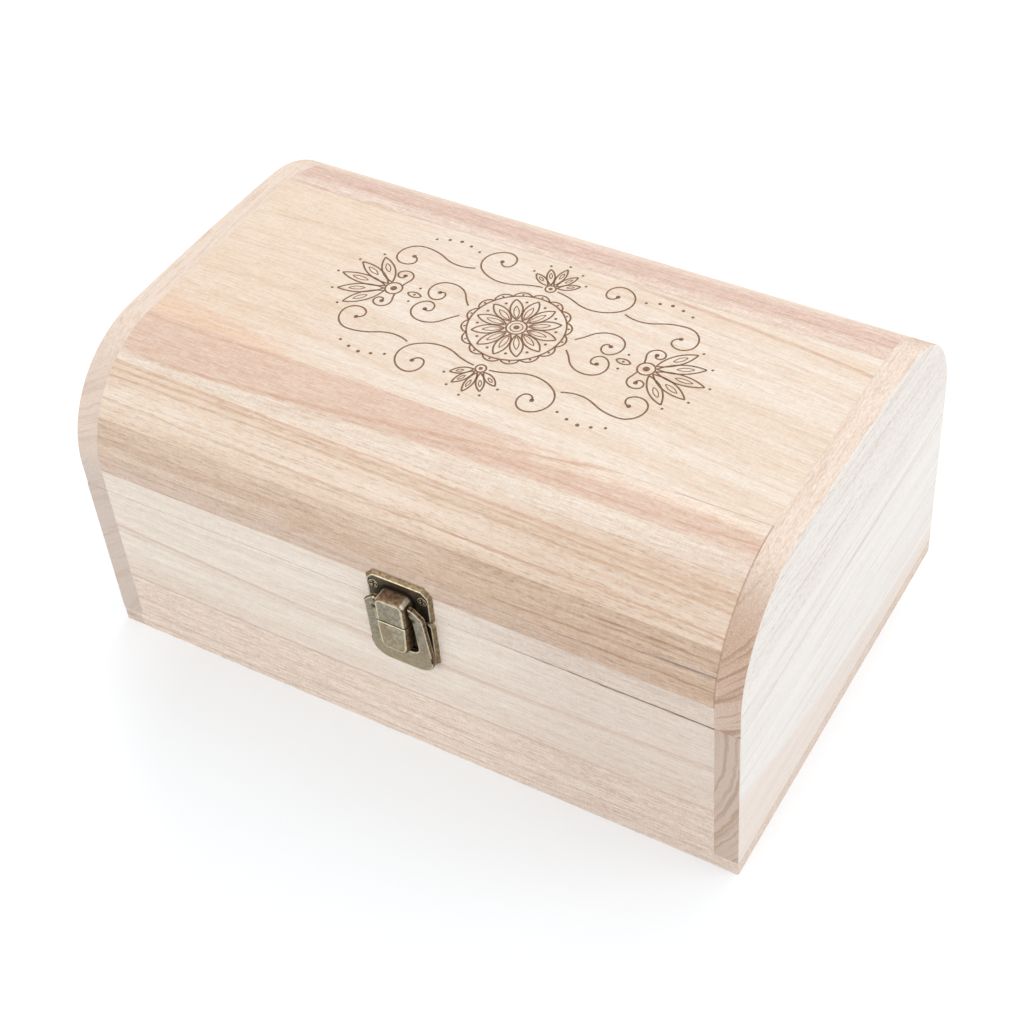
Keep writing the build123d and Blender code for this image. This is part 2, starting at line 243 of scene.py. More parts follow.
def woodMaterial(name, look):
    shader = Shader(bpy.data.materials.new(name))
    along, across, depth = boardCoordinates(shader, look["lies"])
    seed = look["seed"] * seedSteps["wood"]

    def noise(kind, height):
        return shader.grain(woodNoise[kind], along, height, depth, seed)

    wave = noise("wave", across) - 0.5
    level = aboveCurve(along, across, look.get("flow", 0.0)) + wave * look["wave"]
    grain = {kind: noise(kind, level) for kind in ("broad", "streaks", "broken", "pores", "fibre", "hairs")}
    grain["cloud"] = noise("cloud", across)
    grain["rays"] = noise("rays", across)
    grain["fuzz"] = shader.noise(along / fuzzSize, across / fuzzSize, depth / fuzzSize + seed, 1.0)
    streaks, broken = grain["streaks"], grain["broken"]

    colour = shader.blend(shader.step(grain["broad"], *woodSteps["broad"]), look["pale"], look["warm"])
    colour = shader.blend(shader.step(grain["cloud"], *woodSteps["cloud"]), colour, look["warm"])
    porous, harsh = look["pores"], look["harsh"]
    for region in look["patches"]:
        mask = patchMask(shader, region, along, across + wave * 3.0 + (broken - 0.5) * 1.5)
        if region.get("skin"):
            mask = mask * shader.step(depth, *region["skin"])
        colour = shader.blend(mask * region["strength"], colour, region["colour"])
        if region.get("pores"):
            porous = mask * region["pores"] + porous
        if region.get("harsh"):
            harsh = mask * region["harsh"] + harsh
    streaky = shader.step(streaks, *woodSteps["lines"], look["lines"])
    colour = shader.blend(streaky, colour, look["line"])
    for line in look["figure"]:
        mask = lineMask(shader, line, along, across + wave * 2.2, broken)
        colour = shader.blend(mask, colour, line.get("colour", look["line"]))
    if look.get("endLine"):
        # a dark line where the board meets the end on the right
        joint = shader.step(along, panelEnd - 0.8, panelEnd - 0.2, 0.0, look["endLine"])
        colour = shader.blend(joint, colour, brown)
    dashes = poreDashes(shader, grain["pores"], streaks)
    colour = shader.blend(dashes * porous, colour, look["dark"])
    tint = 0.0
    for kind, strength in woodTints.items():
        tint = shader.step(grain[kind], *woodSteps["tint"], strength, -strength) + tint
    colour = shader.warmShade(tint * harsh, colour, look["warmth"])

    height = grain["fibre"] * 0.5 + streaks * 0.5 - dashes * 0.9
    roughness = shader.step(streaks, *woodSteps["roughness"])
    return shader.finish(colour, roughness, height, **woodFinish)


def poreDashes(shader, pores, streaks):
    # the pores, most of them inside the streaks
    inStreaks = shader.step(streaks, *woodSteps["poresInStreaks"])
    return shader.step(pores, *woodSteps["pores"]) * inStreaks


def lineMask(shader, line, along, across, broken):
    # a growth line made of dashes: sharp on its upper side, fading on its lower side
    off = aboveCurve(along, across, line["path"]) + (broken - 0.5) * line.get("rough", 1.6)
    wide = line["wide"]
    mask = shader.step(off, -wide, 0.0) * shader.step(off, 0.0, 0.5 * wide, 1.0, 0.0)
    mask = mask * fadeMask(shader, line, along) * min(1.0, 1.2 * line["strength"])
    return mask * shader.step(broken, *woodSteps["dashes"], line.get("solid", 0.55), 1.0)


def fadeMask(shader, part, along):
    # one inside the span, falling to nothing past its ends
    start, stop = part.get("span", (-200, 200))
    fade = part.get("fade", 25)
    return shader.step(along, start - fade, start) * shader.step(along, stop, stop + fade, 1.0, 0.0)


def patchMask(shader, region, along, across):
    # one between the two curves of a region, and nothing outside it
    blur = region["blur"]
    mask = shader.step(aboveCurve(along, across, region["low"]), -blur, blur)
    mask = mask * shader.step(aboveCurve(along, across, region["high"]), -blur, blur, 1.0, 0.0)
    return mask * fadeMask(shader, region, along)


endNoise = {
    "wave": (120, 26, 1.0, 0.5),
    "streaks": (60, 1.3, 3.0, 0.6),
    "broad": (220, 9, 2.0, 0.5),
    "pores": (3.6, 0.42, 1.0, 0.5),
    "fibre": (1.8, 0.5, 2.0, 0.6),
}
endFuzz = {"width": 0.5, "length": 2.4}
endPores = 0.2
ringNoise = {"gap": 2.0, "length": 60, "wobble": 7, "sway": 2.2}
endSteps = {
    "broad": (0.35, 0.65),
    "lines": (0.5, 0.74, 0.0),
    "edge": (0.42, 0.7),
    "rings": (0.47, 0.66),
    "cutHigh": (84, 118),
    "toEnd": (0.2, 0.85),
    "toSide": (0.45, 0.8),
    "poresOnSide": (0.45, 0.8, 0.35, 1.0),
    "harshOnSide": (0.4, 0.8, 0.11, 0.075),
    "harshOnTop": (0.3, 0.9, 1.0, 0.7),
}


def endMaterial(name, look):
    # an end board, its grain front to back, so that its front edge shows end grain
    shader = Shader(bpy.data.materials.new(name))
    x, y, z = shader.position()
    toSide, toEnd, toTop = shader.facing()
    seed = look["seed"] * seedSteps["end"]

    def noise(kind, height):
        return shader.grain(endNoise[kind], y, height, x, seed)

    level = z + y * look["slope"] + (noise("wave", z) - 0.5) * 5.0
    streaks, pores, fibre = (noise(kind, level) for kind in ("streaks", "pores", "fibre"))
    width, length = endFuzz["width"], endFuzz["length"]
    fuzz = shader.noise(x / width, z / width, y / length + seed, 2.0)

    broad = shader.step(noise("broad", level), *endSteps["broad"])
    face = shader.blend(broad, look["pale"], look["warm"])
    porous = endPores
    for region in look["patches"]:
        mask = patchMask(shader, region, y, level + (streaks - 0.5) * 6.0)
        face = shader.blend(mask * region["strength"], face, region["colour"])
        porous = mask * region.get("pores", 0.0) + porous
    streaky = shader.step(streaks, *endSteps["lines"], look["lines"])
    face = shader.blend(streaky, face, look["line"])

    # year rings about the pith, on the cut front edge
    pithX, pithZ = look["pith"]
    out = x - pithX
    up = z - pithZ
    size, length = ringNoise["wobble"], ringNoise["length"]
    wobble = (shader.noise(x / size + seed, z / size, y / size, 2.0) - 0.5) * ringNoise["sway"]
    reach = shader.length(out, up) + wobble
    rings = shader.noise(reach / ringNoise["gap"] + seed, out / length, up / length, 2.0)
    cut = shader.blend(shader.step(z, *endSteps["cutHigh"]), look["cut"], look["cutHigh"])
    cut = shader.blend(shader.step(rings, *endSteps["rings"]) * look["arcs"], cut, look["cutLine"])
    rim = shader.blend(shader.step(streaks, *endSteps["edge"]), look["edge"], look["edgeLine"])
    around = shader.blend(shader.step(toEnd, *endSteps["toEnd"]), rim, cut)
    colour = shader.blend(shader.step(toSide, *endSteps["toSide"]), around, face)

    dashes = poreDashes(shader, pores, streaks)
    porous = porous * shader.step(toSide, *endSteps["poresOnSide"])
    colour = shader.blend(dashes * porous, colour, look["dark"])
    harsh = shader.step(toSide, *endSteps["harshOnSide"]) * shader.step(toTop, *endSteps["harshOnTop"])
    grain = shader.step(toSide, 0.4, 0.8, -2.2 * look["grain"], -0.9)
    tint = (fibre - 0.5) * harsh * -3.0 + (fuzz - 0.5) * harsh * grain
    colour = shader.warmShade(tint, colour, look["warmth"])

    height = fibre * 0.4 + fuzz * 0.4 - dashes * 0.8
    roughness = shader.step(streaks, *woodSteps["roughness"])
    return shader.finish(colour, roughness, height, **woodFinish)


def patch(low, high, strength, colour, blur, **more):
    # a region of another tone between two curves or levels
    return {"low": low, "high": high, "strength": strength, "colour": colour, "blur": blur, **more}


def whole(left, middle, right):
    # a curve from one end of a board to the other, by its three heights
    return (-139, left), (0, middle), (139, right)


def growth(path, wide, strength, **more):
    # a growth line along a curve
    return {"path": path, "wide": wide, "strength": strength, **more}


pink = (0.735, 0.515, 0.405, 1)
brown = (0.42, 0.25, 0.16, 1)
rust = (0.67, 0.44, 0.32, 1)
slate = (0.22, 0.20, 0.22, 1)

frontLook = {
    "lies": "upright",
    "seed": 1,
    "pale": (0.868, 0.779, 0.683, 1),
    "warm": (0.832, 0.724, 0.628, 1),
    "line": (0.668, 0.5, 0.408, 1),
    "dark": (0.567, 0.408, 0.326, 1),
    "lines": 0.24,
    "wave": 3.0,
    "pores": 0.2,
    "harsh": 0.74,
    "warmth": 0.22,
    "patches": [
        patch(-5, ((-140, 33), (0, 31), (140, 34)), 0.6, (0.84, 0.68, 0.566, 1), 1.2, pores=0.4, harsh=0.7),
        patch(
            ((-140, 34), (0, 32), (140, 35)), ((-140, 42), (0, 41), (140, 46)), 0.55,
            (0.789, 0.663, 0.561, 1), 2.5, pores=0.2,
        ),
        patch(-5, 99, 0.55, (0.69, 0.567, 0.49, 1), 1.0, span=(90, 200), fade=70, pores=0.12),
        patch(82.9, 99, 0.3, (0.62, 0.49, 0.41, 1), 0.6, span=(60, 200), fade=60, pores=0.15, harsh=0.3),
        patch(
            82.7, 83.5, 0.8, (0.223, 0.122, 0.071, 1), 0.35, skin=(-97.4, -97.8), span=(95, 200), fade=60
        ),
    ],
    "figure": [
        growth(((-139, 63.8), (-60, 58.8), (60, 57.2)), 2.6, 0.65, solid=0.8),
        growth(((-139, 60.5), (-60, 56.5), (60, 55.5)), 1.6, 0.35),
        growth(whole(33.4, 31.8, 34.4), 1.6, 0.8, solid=0.8),
        growth(whole(30.4, 29.4, 31.0), 1.2, 0.3),
        growth(whole(19.4, 18.8, 20.6), 1.6, 0.5),
        growth(whole(10.8, 10.4, 14.0), 1.4, 0.6),
        growth(whole(3.8, 3.4, 7.4), 1.5, 0.7),
    ],
}

lowLook = {
    "lies": "corner",
    "seed": 3,
    "pale": (0.722, 0.56, 0.437, 1),
    "warm": (0.65, 0.479, 0.36, 1),
    "line": (0.49, 0.32, 0.22, 1),
    "dark": (0.339, 0.216, 0.145, 1),
    "lines": 0.42,
    "wave": 2.0,
    "pores": 0.32,
    "harsh": 1.25,
    "warmth": 0.34,
    "patches": [
        patch(103, 109, 0.4, (0.791, 0.658, 0.542, 1), 1.5, span=(-200, -60)),
        patch(93, 103, 0.5, (0.688, 0.545, 0.458, 1), 2.0, span=(-200, 60), fade=80),
        patch(93, 122, 0.35, (0.565, 0.395, 0.281, 1), 1.0, span=(60, 200), fade=70, pores=0.2),
        patch(94.0, 94.9, 0.7, brown, 0.4, span=(-200, -75)),
    ],
    "figure": [
        growth(
            ((60, 107.4), (110, 108.0), (139, 108.4)), 1.0, 0.95, colour=slate, span=(118, 150), fade=12,
            solid=0.6, rough=0.8,
        ),
        growth(((40, 107.4), (90, 107.6), (139, 108.2)), 1.0, 0.6, colour=brown, span=(60, 110)),
        growth(((60, 115.0), (110, 114.9), (139, 113.9)), 1.3, 0.8, colour=brown, span=(98, 150)),
        growth(((60, 112.6), (110, 112.6), (139, 111.4)), 1.0, 0.6, colour=brown, span=(92, 150)),
        growth(((60, 102.0), (110, 102.4), (139, 101.8)), 1.1, 0.8, colour=brown, span=(90, 150)),
    ],
    "endLine": 0.7,
}

middleLook = {
    "lies": "corner",
    "seed": 7,
    "pale": (0.892, 0.745, 0.618, 1),
    "warm": (0.82, 0.652, 0.512, 1),
    "line": (0.612, 0.392, 0.262, 1),
    "dark": (0.414, 0.276, 0.194, 1),
    "lines": 0.34,
    "wave": 2.5,
    "pores": 0.36,
    "harsh": 0.78,
    "warmth": 0.55,
    "flow": whole(2, 0, -3.5),
    "patches": [
        patch(119, 146, 0.45, (0.7, 0.522, 0.395, 1), 1.0, span=(80, 200), fade=90, pores=0.1),
    ],
    "figure": [
        growth(whole(144.6, 142.4, 139.6), 1.6, 0.7, colour=rust),
        growth(whole(141.4, 140.6, 136.4), 1.4, 0.6),
        growth(whole(138.4, 137.4, 133.4), 1.3, 0.6),
        growth(whole(128.5, 126.0, 122.4), 1.1, 0.5),
        growth(((-20, 124.8), (60, 125.4), (139, 124.2)), 0.8, 0.7, span=(0, 150)),
    ],
    "endLine": 0.7,
}

highLook = {
    "lies": "corner",
    "seed": 11,
    "pale": (0.86, 0.738, 0.618, 1),
    "warm": (0.81, 0.667, 0.558, 1),
    "line": (0.661, 0.436, 0.323, 1),
    "dark": (0.51, 0.339, 0.261, 1),
    "lines": 0.18,
    "wave": 4.0,
    "pores": 0.22,
    "harsh": 1.15,
    "warmth": 0.42,
    "patches": [
        patch(whole(149, 153, 156), whole(175, 172, 164), 0.75, pink, 2.0),
        patch(146, whole(148, 150, 153.5), 0.2, (0.79, 0.66, 0.56, 1), 1.5),
        patch(
            ((60, 163), (100, 164), (139, 164)), 171, 0.65, (0.89, 0.745, 0.61, 1), 1.5, span=(60, 200),
            fade=50,
        ),
        patch(169.6, 171, 0.7, brown, 0.3, span=(100, 200), fade=40),
    ],
    "figure": [
        growth(((-120, 149.5), (-60, 152.8), (50, 166.0)), 2.2, 0.75, colour=rust, span=(-118, 75)),
        growth(((-60, 149.5), (0, 155.5), (75, 163.5)), 2.0, 0.4, span=(-50, 60)),
        growth(((-139, 168.8), (-110, 168.6), (-60, 170.0)), 1.2, 0.7, colour=rust, span=(-150, -85)),
        growth(((20, 159.0), (80, 158.0), (139, 160.5)), 1.6, 0.6, span=(30, 150)),
        growth(((60, 145.8), (100, 146.2), (139, 146.2)), 0.7, 0.6, colour=rust, span=(60, 150)),
    ],
    "endLine": 0.7,
}

topLook = {
    "lies": "top",
    "seed": 17,
    "pale": (0.863, 0.757, 0.655, 1),
    "warm": (0.824, 0.682, 0.553, 1),
    "line": (0.741, 0.561, 0.42, 1),
    "dark": (0.605, 0.443, 0.33, 1),
    "lines": 0.3,
    "wave": 6.0,
    "pores": 0.22,
    "harsh": 0.9,
    "warmth": 0.42,
    "flow": whole(3, 0, -9),
    "patches": [
        patch(160, 280, 0.6, (0.83, 0.65, 0.5, 1), 1.0, span=(-200, -95), fade=50),
        patch(
            160, ((-139, 182.5), (-100, 178.8), (-69, 170.4)), 0.8, (0.819, 0.591, 0.44, 1), 0.8,
            span=(-200, -66), fade=6,
        ),
        patch(270.2, 272, 0.2, brown, 0.3),
    ],
    "figure": [
        growth(((40, 268.5), (90, 265.0), (139, 259.0)), 2.0, 0.75, colour=rust, span=(48, 200)),
        growth(((10, 263.0), (75, 256.6), (139, 247.0)), 1.5, 0.6, span=(15, 200)),
        growth(((10, 252.0), (75, 248.0), (139, 240.0)), 2.4, 0.25, span=(45, 200)),
        growth(((60, 225.0), (100, 221.8), (139, 217.4)), 1.2, 0.6, span=(62, 200)),
        growth(((100, 191.0), (120, 189.0), (139, 187.0)), 1.1, 0.6, span=(100, 200)),
        growth(((60, 203.0), (100, 201.0), (139, 197.0)), 1.8, 0.25, span=(50, 200)),
        growth(((-139, 192.0), (-90, 189.0), (-20, 180.0)), 3.0, 0.3, span=(-200, -40)),
        growth(((-139, 204.0), (-90, 206.0), (-40, 203.0)), 3.0, 0.3, span=(-200, -60)),
        growth(((-139, 246.0), (-90, 250.0), (-40, 246.0)), 3.5, 0.3, span=(-200, -60)),
    ],
}

rearLook = dict(
    highLook,
    seed=23,
    harsh=1.6,
    warmth=0.26,
    pale=(0.818, 0.668, 0.574, 1),
    warm=(0.765, 0.59, 0.49, 1),
    flow=whole(-2, 0, 1),
    patches=[
        patch(whole(150, 151, 152), whole(164, 163, 163), 0.7, (0.715, 0.51, 0.43, 1), 2.0),
    ],
    figure=[
        growth(whole(160.0, 162.0, 161.0), 1.6, 0.6),
        growth(whole(153.0, 155.0, 156.0), 1.6, 0.5),
    ],
    endLine=0.0,
)
plainBack = {"patches": [], "figure": [], "endLine": 0.0}

leftLook = {
    "seed": 5,
    "slope": 0.06,
    "pith": (-50.0, -70.0),
    "pale": (0.862, 0.828, 0.79, 1),
    "warm": (0.83, 0.785, 0.738, 1),
    "line": (0.64, 0.53, 0.46, 1),
    "dark": (0.50, 0.39, 0.32, 1),
    "lines": 0.42,
    "edge": (0.84, 0.705, 0.605, 1),
    "edgeLine": (0.78, 0.61, 0.485, 1),
    "cut": (0.665, 0.558, 0.485, 1),
    "cutHigh": (0.78, 0.64, 0.54, 1),
    "cutLine": (0.60, 0.46, 0.38, 1),
    "arcs": 0.6,
    "grain": 1.0,
    "warmth": 0.08,
    "patches": [
        patch(-5, ((-98, 42), (0, 24), (98, 20)), 0.7, (0.825, 0.712, 0.635, 1), 3.0),
        patch(((-98, 98), (0, 100), (98, 102)), 150, 0.35, (0.8, 0.735, 0.69, 1), 6.0, pores=0.45),
    ],
}
rightLook = dict(
    leftLook,
    seed=8,
    pith=(51.0, 74.0),
    cut=(0.615, 0.485, 0.405, 1),
    cutHigh=(0.615, 0.432, 0.325, 1),
    cutLine=(0.43, 0.275, 0.19, 1),
)
lidRightLook = dict(
    rightLook,
    pith=(85.0, 175.0),
    cut=(0.65, 0.50, 0.405, 1),
    arcs=0.9,
    grain=3.6,
    lines=0.62,
    warmth=0.22,
)
lidLeftLook = dict(leftLook, arcs=0.42, grain=1.5, warmth=0.2)


arcSteps = {"turn": math.radians(2.5), "crown": 12}


def closeProfile(bm, start, moves):
    # draws a closed outline in the YZ plane: ("line", y, z) or ("arc", y, z, turn) about a centre
    tip = bm.verts.new((0, start[0] * mm, start[1] * mm))
    first = tip
    for kind, y, z, *turn in moves:
        if kind == "line":
            new = bm.verts.new((0, y * mm, z * mm))
            bm.edges.new((tip, new))
            tip = new
        else:
            steps = max(2, round(abs(turn[0]) / arcSteps["turn"])) if y else arcSteps["crown"]
            spun = bmesh.ops.spin(
                bm, geom=[tip], cent=(0, y * mm, z * mm), axis=(1, 0, 0), angle=turn[0], steps=steps
            )
            tip = next(piece for piece in spun["geom_last"] if isinstance(piece, bmesh.types.BMVert))
    bm.edges.new((tip, first))
    bmesh.ops.contextual_create(bm, geom=bm.edges[:])


def extrudeAlong(bm, low, high):
    # gives the outline its length along X
    for vert in bm.verts:
        vert.co.x = low * mm
    pulled = bmesh.ops.extrude_face_region(bm, geom=bm.faces[:])
    moved = [piece for piece in pulled["geom"] if isinstance(piece, bmesh.types.BMVert)]
    bmesh.ops.translate(bm, verts=moved, vec=((high - low) * mm, 0, 0))
    bmesh.ops.recalc_face_normals(bm, faces=bm.faces[:])


# how far two faces turn from each other
turns = {"flat": 0.5, "smooth": 1, "slight": 3, "hollow": 20, "sharp": 30, "shading": 50}
turns = {name: math.radians(turn) for name, turn in turns.items()}


def bevel(bm, edges, width, segments):
    return bmesh.ops.bevel(
        bm, geom=edges, offset=width * mm, offset_type="OFFSET", segments=segments, profile=0.5,
        affect="EDGES", material=-1, clamp_overlap=True,
    )


def easeEdges(bm, width, segments=2, chosen=None):
    # rounds the sharp edges, or the chosen ones among them
    edges = [edge for edge in bm.edges if edge.calc_face_angle(0) > turns["sharp"]]
    if chosen:
        edges = [edge for edge in edges if chosen(edge)]
    bevel(bm, edges, width, segments)


def makeMesh(bm, name):
    mesh = bpy.data.meshes.new(name)
    bm.to_mesh(mesh)
    bm.free()
    return mesh


def addObject(name, data):
    made = bpy.data.objects.new(name, data)
    bpy.context.scene.collection.objects.link(made)
    return made


def makePiece(bm, name, node, material, rounded=True):
    # turns a finished bmesh into the piece that stands for a CAD node
    mesh = makeMesh(bm, name)
    if rounded:
        for face in mesh.polygons:
            face.use_smooth = True
    mesh.set_sharp_from_angle(angle=turns["shading"])
    piece = addObject(name, mesh)
    if rounded:
        weighted = piece.modifiers.new("flatFaces", "WEIGHTED_NORMAL")
        weighted.keep_sharp = True
    mesh.materials.append(material)
    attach(piece, frame["nodes"][node]["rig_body"])
    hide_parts(node)
    return piece


boardEdges = {"joint": 0.07, "outside": 0.6}
tolerance = 0.1
# the drawing's strokes lie in the depth by which the top board is lowered
engraving = {"sunk": 0.05, "lift": 0.02, "centre": (2.0, 4.5), "bold": 0.75, "fine": 0.45}


def isOutside(edge):
    # whether an edge lies on one of the box's two end faces
    return all(abs(abs(vert.co.x) - halfLength * mm) < tolerance * mm for vert in edge.verts)


def boxBoard(node, material):
    low, high = (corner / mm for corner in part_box(node))
    bm = bmesh.new()
    bmesh.ops.create_cube(bm, size=1.0)
    bmesh.ops.scale(bm, verts=bm.verts, vec=(high - low) * mm)
    bmesh.ops.translate(bm, verts=bm.verts, vec=(high + low) / 2 * mm)

    def atEnd(edge):
        return isOutside(edge) and abs(edge.verts[0].co.z - edge.verts[1].co.z) > mm

    if high.x > halfLength - 1:
        easeEdges(bm, boardEdges["outside"], 3, atEnd)
    easeEdges(bm, boardEdges["joint"])
    return makePiece(bm, node + "Wood", node, material)


def arcPoint(angle, radius):
    return -cornerY - radius * math.cos(angle), lidShape["spring"] + radius * math.sin(angle)


def stave(node, place, side, material):
    # one of the boards bent round a corner of the lid, in front or, mirrored, at the back
    outer, inner = lidShape["corner"], lidShape["corner"] - lidShape["wall"]
    first, last = place * staveTurn, (place + 1) * staveTurn
    bm = bmesh.new()
    moves = [
        ("arc", -cornerY, lidShape["spring"], -staveTurn),
        ("line", *arcPoint(last, inner)),
        ("line", *arcPoint(first, inner)),
    ]
    closeProfile(bm, arcPoint(first, outer), moves)
    extrudeAlong(bm, -panelEnd, panelEnd)
    easeEdges(bm, boardEdges["joint"])
    if side > 0:
        bmesh.ops.scale(bm, verts=bm.verts, vec=(1, -1, 1))
        bmesh.ops.reverse_faces(bm, faces=bm.faces[:])
    return makePiece(bm, node + "Wood", node, material)


def crownHeight(y, sunk=0.0):
    return crownZ - sunk + math.sqrt(lidShape["crown"] ** 2 - y * y)


def topBoard(node, material):
    outer = arcPoint(staves * staveTurn, lidShape["corner"])
    outer = (outer[0], outer[1] - engraving["sunk"])
    inner = arcPoint(staves * staveTurn, lidShape["corner"] - lidShape["wall"])
    bm = bmesh.new()
    moves = [
        ("arc", 0, crownZ - engraving["sunk"], -2 * crownTurn),
        ("line", -inner[0], inner[1]),
        ("line", *inner),
    ]
    closeProfile(bm, outer, moves)
    extrudeAlong(bm, -panelEnd, panelEnd)
    easeEdges(bm, boardEdges["joint"])
    return makePiece(bm, node + "Wood", node, material)


def lidEnd(node, material):
    low, high = (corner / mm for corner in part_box(node))
    bm = bmesh.new()
    moves = [
        ("line", low.y, lidShape["spring"]),
        ("arc", -cornerY, lidShape["spring"], -staves * staveTurn),
        ("arc", 0, crownZ, -2 * crownTurn),
        ("arc", cornerY, lidShape["spring"], -staves * staveTurn),
        ("line", high.y, low.z),
    ]
    closeProfile(bm, (low.y, low.z), moves)
    extrudeAlong(bm, low.x, high.x)

    def onRim(edge):
        return isOutside(edge) and not all(vert.co.z < (low.z + tolerance) * mm for vert in edge.verts)

    easeEdges(bm, boardEdges["outside"], 3, onRim)
    easeEdges(bm, boardEdges["joint"])
    return makePiece(bm, node + "Wood", node, material)


frontWood = woodMaterial("frontWood", frontLook)
backWood = woodMaterial("backWood", dict(frontLook, seed=31, patches=[], lines=0.5))
bottomPatch = patch(-5, 9, 0.9, (0.7, 0.58, 0.49, 1), 2.0, span=(-200, -141), fade=1)
bottomLook = dict(frontLook, patches=[*frontLook["patches"], bottomPatch])
for node, wood in {
    "base_front": frontWood,
    "lid_rail_front": frontWood,
    "base_back": backWood,
    "lid_rail_back": backWood,
    "bottom_board": woodMaterial("bottomWood", bottomLook),
}.items():
    boxBoard(node, wood)
boxBoard("base_end_left", endMaterial("leftEndWood", leftLook))
lidEnd("lid_end_left", endMaterial("lidLeftWood", lidLeftLook))
boxBoard("base_end_right", endMaterial("rightEndWood", rightLook))
lidEnd("lid_end_right", endMaterial("lidRightWood", lidRightLook))
staveLooks = {"low": lowLook, "middle": middleLook, "high": highLook}
for place, name in enumerate(staveLooks):
    stave("lid_slat_front_" + name, place, -1, woodMaterial(name + "StaveWood", staveLooks[name]))
    rear = rearLook if name == "high" else dict(staveLooks[name], seed=41 + place, **plainBack)
    stave("lid_slat_back_" + name, place, 1, woodMaterial(name + "RearWood", rear))
topBoard("lid_top_board", woodMaterial("topWood", topLook))
print("boards made")


# the longest part of a curved stroke, and its largest turn
strokeSteps = {"length": 0.9, "turn": 0.35}


class Drawing:
    # flat strokes about a centre, laid over the crown when they are done
    def __init__(self):
        self.points = []
        self.faces = []
        self.turn = Matrix.Identity(4)

    def at(self, x, y, angle=0.0, flip=(1, 1)):
        turned = Matrix.Translation((x, y, 0)) @ Matrix.Rotation(angle, 4, "Z")
        self.turn = turned @ Matrix.Diagonal((*flip, 1, 1))

    def arc(self, x, y, radius, start, sweep, wide):
        # a stroke round a centre, spun from a short edge in a mesh of its own
        bm = bmesh.new()
        inner, outer = radius - wide / 2, radius + wide / 2
        pair = [bm.verts.new((x + r * math.cos(start), y + r * math.sin(start), 0)) for r in (inner, outer)]
        byLength = round(abs(sweep) * radius / strokeSteps["length"])
        steps = max(4, byLength, round(abs(sweep) / strokeSteps["turn"]))
        bmesh.ops.spin(
            bm, geom=[*pair, bm.edges.new(pair)], cent=(x, y, 0), axis=(0, 0, 1), angle=sweep, steps=steps,
            use_merge=abs(abs(sweep) - 2 * math.pi) < 1e-6,
        )
        bm.verts.index_update()
        first = len(self.points)
        self.points += [self.turn @ vert.co for vert in bm.verts]
        self.faces += [[first + vert.index for vert in face.verts] for face in bm.faces]
        bm.free()

    def ring(self, x, y, radius, wide):
        self.arc(x, y, radius, 0.0, 2 * math.pi, wide)

    def dot(self, x, y, radius):
        self.ring(x, y, radius / 2, radius)

    def bow(self, first, last, rise, wide):
        # an arc between two points, standing off its chord to the left
        first, last = Vector(first), Vector(last)
        chord = last - first
        side = Vector((-chord.y, chord.x)).normalized()
        radius = ((chord.length / 2) ** 2 + rise * rise) / (2 * abs(rise))
        sign = 1 if rise > 0 else -1
        centre = (first + last) / 2 + side * (rise - sign * radius)
        start = first - centre
        sweep = 2 * math.asin(min(1.0, chord.length / 2 / radius))
        self.arc(centre.x, centre.y, radius, math.atan2(start.y, start.x), -sign * sweep, wide)

    def petal(self, angle, inner, outer, half, wide):
        way = Vector((math.cos(angle), math.sin(angle)))
        self.bow(way * inner, way * outer, half, wide)
        self.bow(way * inner, way * outer, -half, wide)

    def trail(self, x, y, heading, bends, wide):
        # arcs that run on from one another, each with a radius and a turn, ended by a dot
        for radius, turn in bends:
            side = 1 if turn > 0 else -1
            middleX = x - side * radius * math.sin(heading)
            middleY = y + side * radius * math.cos(heading)
            start = math.atan2(y - middleY, x - middleX)
            self.arc(middleX, middleY, radius, start, turn, wide)
            heading += turn
            x = middleX + radius * math.cos(start + turn)
            y = middleY + radius * math.sin(start + turn)
        self.dot(x, y, wide * 1.3)


def rosette(drawing, x, y, petals, sizes):
    # petals about a middle, inside a scalloped ring
    bold, fine = engraving["bold"], engraving["fine"]
    drawing.at(x, y)
    drawing.ring(0, 0, sizes["ring"], bold)
    drawing.ring(0, 0, sizes["eye"], bold)
    drawing.ring(0, 0, sizes["eye"] * 0.62, fine)
    drawing.dot(0, 0, sizes["eye"] * 0.3)
    for place in range(petals):
        angle = 2 * math.pi * place / petals
        drawing.at(x, y, angle)
        drawing.petal(0, sizes["eye"] + 0.6, sizes["tip"], sizes["half"], bold)
        drawing.petal(0, sizes["eye"] + 1.6, sizes["tip"] * 0.76, sizes["half"] * 0.42, fine)
        drawing.at(x, y, angle + math.pi / petals)
        drawing.dot(sizes["tip"] * 0.9, 0, 0.65)
    for place in range(sizes["scallops"]):
        angle = 2 * math.pi * place / sizes["scallops"]
        step = math.pi / sizes["scallops"]
        drawing.at(x, y, angle)
        near, far = sizes["ring"] * math.cos(step), sizes["ring"] * math.sin(step)
        drawing.bow((near, far), (near, -far), 2.6, bold)
        drawing.dot(sizes["ring"] + 0.9, 0, 0.5)


def fan(drawing, count, spread, sizes):
    # petals spread out from a small eye
    bold, fine = engraving["bold"], engraving["fine"]
    for place in range(count):
        angle = (place - (count - 1) / 2) * spread
        tip = sizes["tip"] * (1 - 0.16 * abs(angle))
        drawing.petal(angle, sizes["eye"] + 0.5, tip, sizes["half"], bold)
        drawing.petal(angle, sizes["eye"] + 0.35 * tip, 0.8 * tip, sizes["half"] * 0.36, fine)
        drawing.dot((tip + 2.2) * math.cos(angle), (tip + 2.2) * math.sin(angle), 0.6)
    drawing.ring(0, 0, sizes["eye"], bold)
    drawing.dot(0, 0, sizes["eye"] * 0.4)


burnedLook = {"dark": (0.19, 0.103, 0.06, 1), "pale": (0.33, 0.195, 0.12, 1)}


